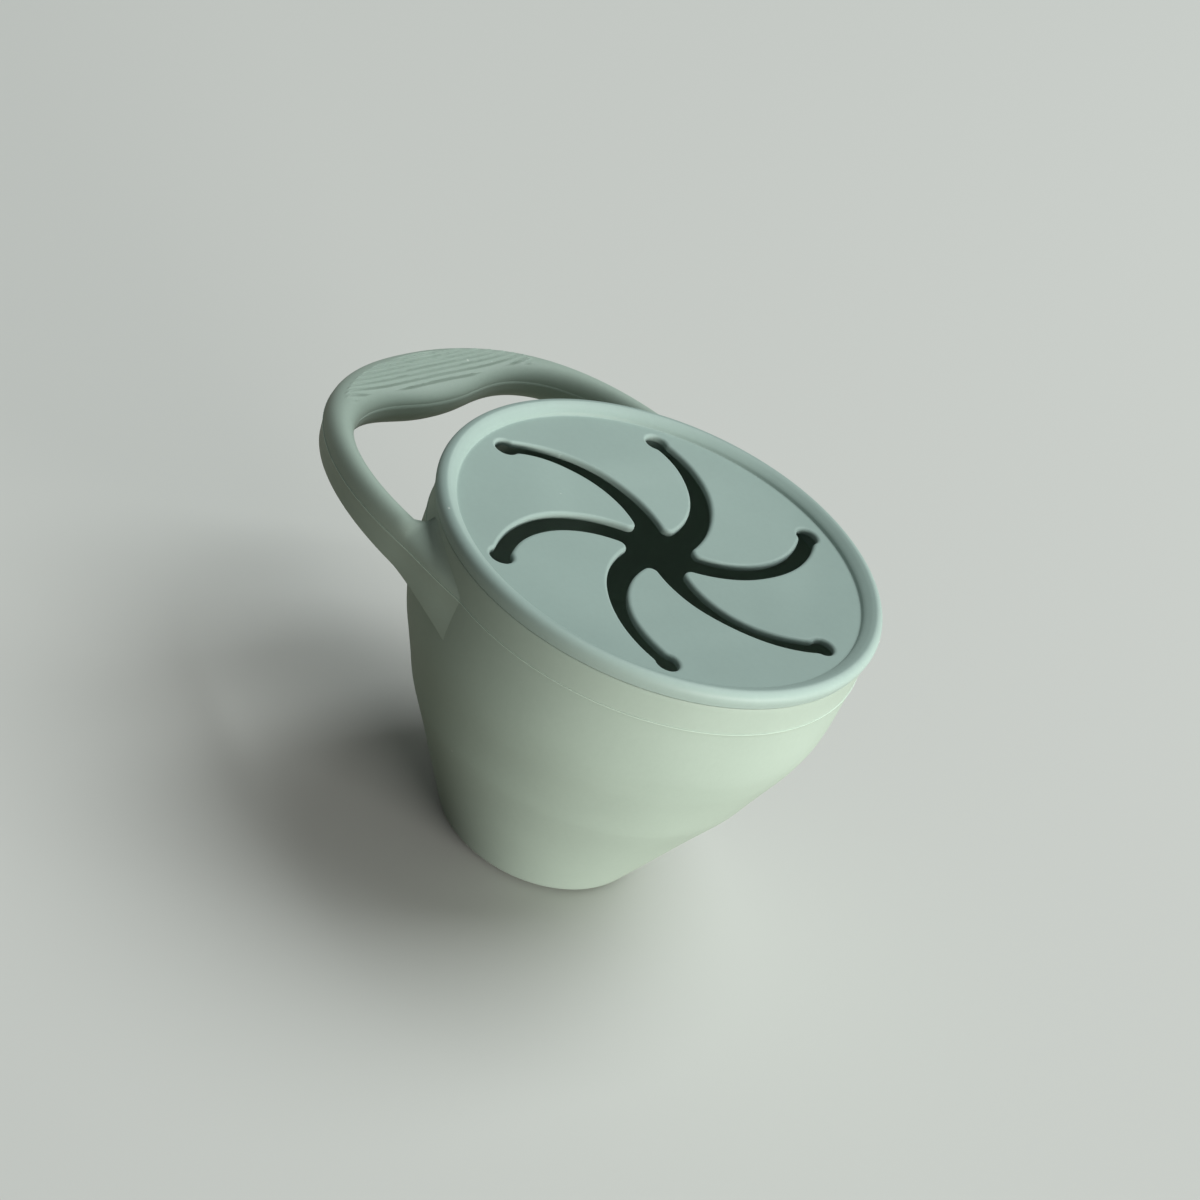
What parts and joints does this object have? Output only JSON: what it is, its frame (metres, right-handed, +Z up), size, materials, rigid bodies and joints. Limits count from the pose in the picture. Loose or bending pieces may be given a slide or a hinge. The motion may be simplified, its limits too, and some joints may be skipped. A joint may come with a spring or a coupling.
{
  "type": "snack cup",
  "caption": "Soft collapsible snack cup with a loop handle and a lift-off lid whose curved flaps let a small hand in and keep the snacks in.",
  "frame": {"origin": "centre of the base's flat underside", "axes": "+Z up along the cup's axis, the handle points to -X, its grip lies along Y"},
  "size_m": [0.1267, 0.0946, 0.0781],
  "materials": {
    "cup_silicone": "matte moulded silicone, sage green",
    "lid_silicone": "matte moulded silicone, sage green"
  },
  "bodies": {
    "lower_cup": {"base": "cup_silicone", "lower_wall": "cup_silicone", "fold_band": "cup_silicone"},
    "upper_cup": {"upper_wall": "cup_silicone", "handle": "cup_silicone"},
    "lid": {"lid_rim": "lid_silicone", "lid_panel": "lid_silicone"},
    "petal_1": {"petal_1": "lid_silicone"},
    "petal_2": {"petal_2": "lid_silicone"},
    "petal_3": {"petal_3": "lid_silicone"},
    "petal_4": {"petal_4": "lid_silicone"},
    "petal_5": {"petal_5": "lid_silicone"},
    "petal_6": {"petal_6": "lid_silicone"}
  },
  "joints": [
    {"name": "collapse", "type": "slide", "parent": "lower_cup", "child": "upper_cup", "axis": [0, 0, -1], "range_m": [0, 0.028], "deforming": ["fold_band"]},
    {"name": "lid_lift", "type": "slide", "parent": "upper_cup", "child": "lid", "axis": [0, 0, 1], "range_m": [0, 0.03]},
    {"name": "petal_1_bend", "type": "hinge", "parent": "lid", "child": "petal_1", "pos_m": [0.01625, 0.02574, 0.0752], "axis": [0.7555, -0.6552, 0], "range_deg": [-45, 65], "stiffness_Nm_per_rad": 0.0025, "springref_deg": -2.01},
    {"name": "petal_2_bend", "type": "hinge", "parent": "lid", "child": "petal_2", "pos_m": [0.03042, -0.0012, 0.0752], "axis": [-0.1897, -0.9818, 0], "range_deg": [-45, 65], "stiffness_Nm_per_rad": 0.0025, "springref_deg": -2.01},
    {"name": "petal_3_bend", "type": "hinge", "parent": "lid", "child": "petal_3", "pos_m": [0.01417, -0.02694, 0.0752], "axis": [-0.9451, -0.3266, 0], "range_deg": [-45, 65], "stiffness_Nm_per_rad": 0.0025, "springref_deg": -2.01},
    {"name": "petal_4_bend", "type": "hinge", "parent": "lid", "child": "petal_4", "pos_m": [-0.01625, -0.02574, 0.0752], "axis": [-0.7555, 0.6552, 0], "range_deg": [-45, 65], "stiffness_Nm_per_rad": 0.0025, "springref_deg": -2.01},
    {"name": "petal_5_bend", "type": "hinge", "parent": "lid", "child": "petal_5", "pos_m": [-0.03042, 0.0012, 0.0752], "axis": [0.1897, 0.9818, 0], "range_deg": [-45, 65], "stiffness_Nm_per_rad": 0.0025, "springref_deg": -2.01},
    {"name": "petal_6_bend", "type": "hinge", "parent": "lid", "child": "petal_6", "pos_m": [-0.01417, 0.02694, 0.0752], "axis": [0.9451, 0.3266, 0], "range_deg": [-45, 65], "stiffness_Nm_per_rad": 0.0025, "springref_deg": -2.01}
  ]
}
